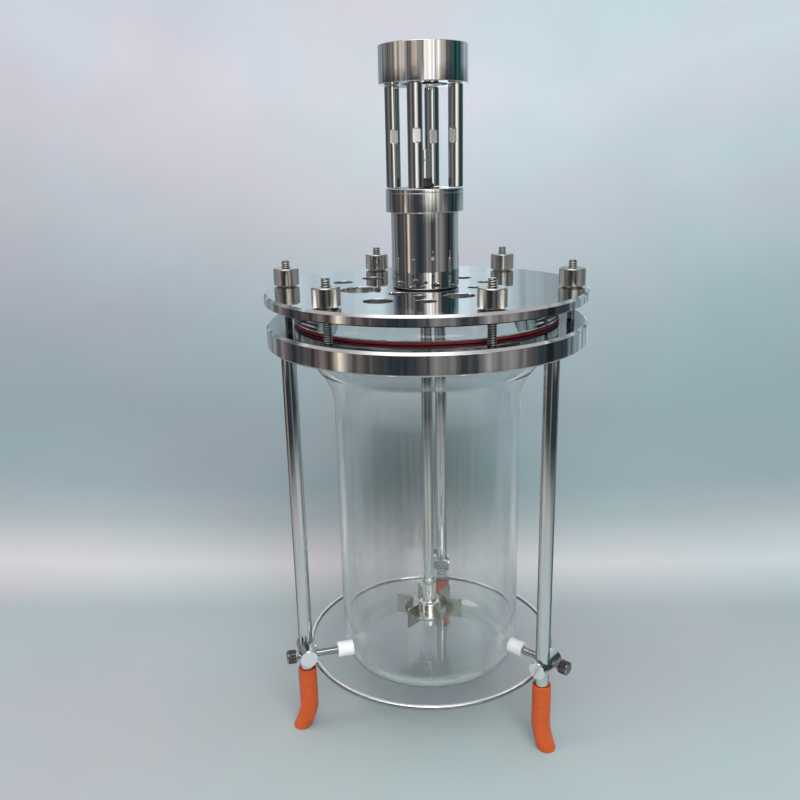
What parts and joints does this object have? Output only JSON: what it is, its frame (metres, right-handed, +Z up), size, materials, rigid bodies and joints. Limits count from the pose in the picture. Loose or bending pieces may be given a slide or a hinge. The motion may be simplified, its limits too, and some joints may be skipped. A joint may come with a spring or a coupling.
{
  "type": "bench bioreactor",
  "caption": "Flanged glass stirred vessel held in a ring on three legs, with a drilled stainless lid, a turbine stirrer and an open motor cage.",
  "frame": {"origin": "on the floor at the centre of the vessel's axis", "axes": "+Z up along the stirrer shaft, leg 1 towards +Y"},
  "size_m": [0.22, 0.2247, 0.4778],
  "materials": {
    "polished_steel": "polished stainless steel",
    "turned_steel": "turned and knurled stainless steel",
    "vessel_glass": "clear borosilicate",
    "red_silicone": "matt",
    "orange_silicone": "smooth silicone",
    "white_ptfe": "turned PTFE",
    "black_rubber": "matt",
    "clear_silicone": "translucent silicone"
  },
  "bodies": {
    "frame": {"lid_plate": "polished_steel", "lid_oring": "clear_silicone", "clamp_ring": "polished_steel", "glass_vessel": "vessel_glass", "flange_gasket": "red_silicone", "stud_1": "turned_steel", "stud_2": "turned_steel", "stud_3": "turned_steel", "stud_4": "turned_steel", "stud_5": "turned_steel", "stud_6": "turned_steel", "leg_1": "polished_steel", "leg_2": "polished_steel", "leg_3": "polished_steel", "foot_tube_1": "orange_silicone", "foot_tube_2": "orange_silicone", "foot_tube_3": "orange_silicone", "base_ring": "polished_steel", "clamp_boss_1": "polished_steel", "clamp_boss_2": "polished_steel", "clamp_boss_3": "polished_steel", "clamp_set_screw_1": "turned_steel", "clamp_set_screw_2": "turned_steel", "clamp_set_screw_3": "turned_steel", "drive_housing": "polished_steel", "housing_oring": "black_rubber", "housing_collar": "polished_steel", "pillar_1": "polished_steel", "pillar_2": "polished_steel", "pillar_3": "polished_steel", "pillar_4": "polished_steel", "motor_ring": "polished_steel", "bearing_upper": "turned_steel", "bearing_lower": "turned_steel", "bearing_cover": "turned_steel", "shaft_seal": "black_rubber", "drive_seal": "black_rubber"},
    "stirrer": {"stirrer_shaft": "polished_steel", "drive_pin": "turned_steel", "impeller": "polished_steel", "impeller_grub_screw": "turned_steel", "impeller_nut": "polished_steel"},
    "nut_1": {"thumb_nut_1": "turned_steel"},
    "nut_2": {"thumb_nut_2": "turned_steel"},
    "nut_3": {"thumb_nut_3": "turned_steel"},
    "nut_4": {"thumb_nut_4": "turned_steel"},
    "nut_5": {"thumb_nut_5": "turned_steel"},
    "nut_6": {"thumb_nut_6": "turned_steel"},
    "support_1": {"support_screw_1": "turned_steel", "support_pad_1": "white_ptfe"},
    "support_2": {"support_screw_2": "turned_steel", "support_pad_2": "white_ptfe"},
    "support_3": {"support_screw_3": "turned_steel", "support_pad_3": "white_ptfe"}
  },
  "joints": [
    {"name": "stirrer_spin", "type": "hinge", "parent": "frame", "child": "stirrer", "pos_m": [0, 0, 0.2], "axis": [0, 0, 1], "continuous": true},
    {"name": "nut_1_lift", "type": "slide", "parent": "frame", "child": "nut_1", "axis": [0, 0, 1], "range_m": [0, 0.016]},
    {"name": "nut_2_lift", "type": "slide", "parent": "frame", "child": "nut_2", "axis": [0, 0, 1], "range_m": [0, 0.016]},
    {"name": "nut_3_lift", "type": "slide", "parent": "frame", "child": "nut_3", "axis": [0, 0, 1], "range_m": [0, 0.016]},
    {"name": "nut_4_lift", "type": "slide", "parent": "frame", "child": "nut_4", "axis": [0, 0, 1], "range_m": [0, 0.016]},
    {"name": "nut_5_lift", "type": "slide", "parent": "frame", "child": "nut_5", "axis": [0, 0, 1], "range_m": [0, 0.016]},
    {"name": "nut_6_lift", "type": "slide", "parent": "frame", "child": "nut_6", "axis": [0, 0, 1], "range_m": [0, 0.016]},
    {"name": "support_1_feed", "type": "slide", "parent": "frame", "child": "support_1", "axis": [0, 1, 0], "range_m": [0, 0.012]},
    {"name": "support_2_feed", "type": "slide", "parent": "frame", "child": "support_2", "axis": [-0.9205, -0.3907, 0], "range_m": [0, 0.012]},
    {"name": "support_3_feed", "type": "slide", "parent": "frame", "child": "support_3", "axis": [0.848, -0.5299, 0], "range_m": [0, 0.012]}
  ]
}
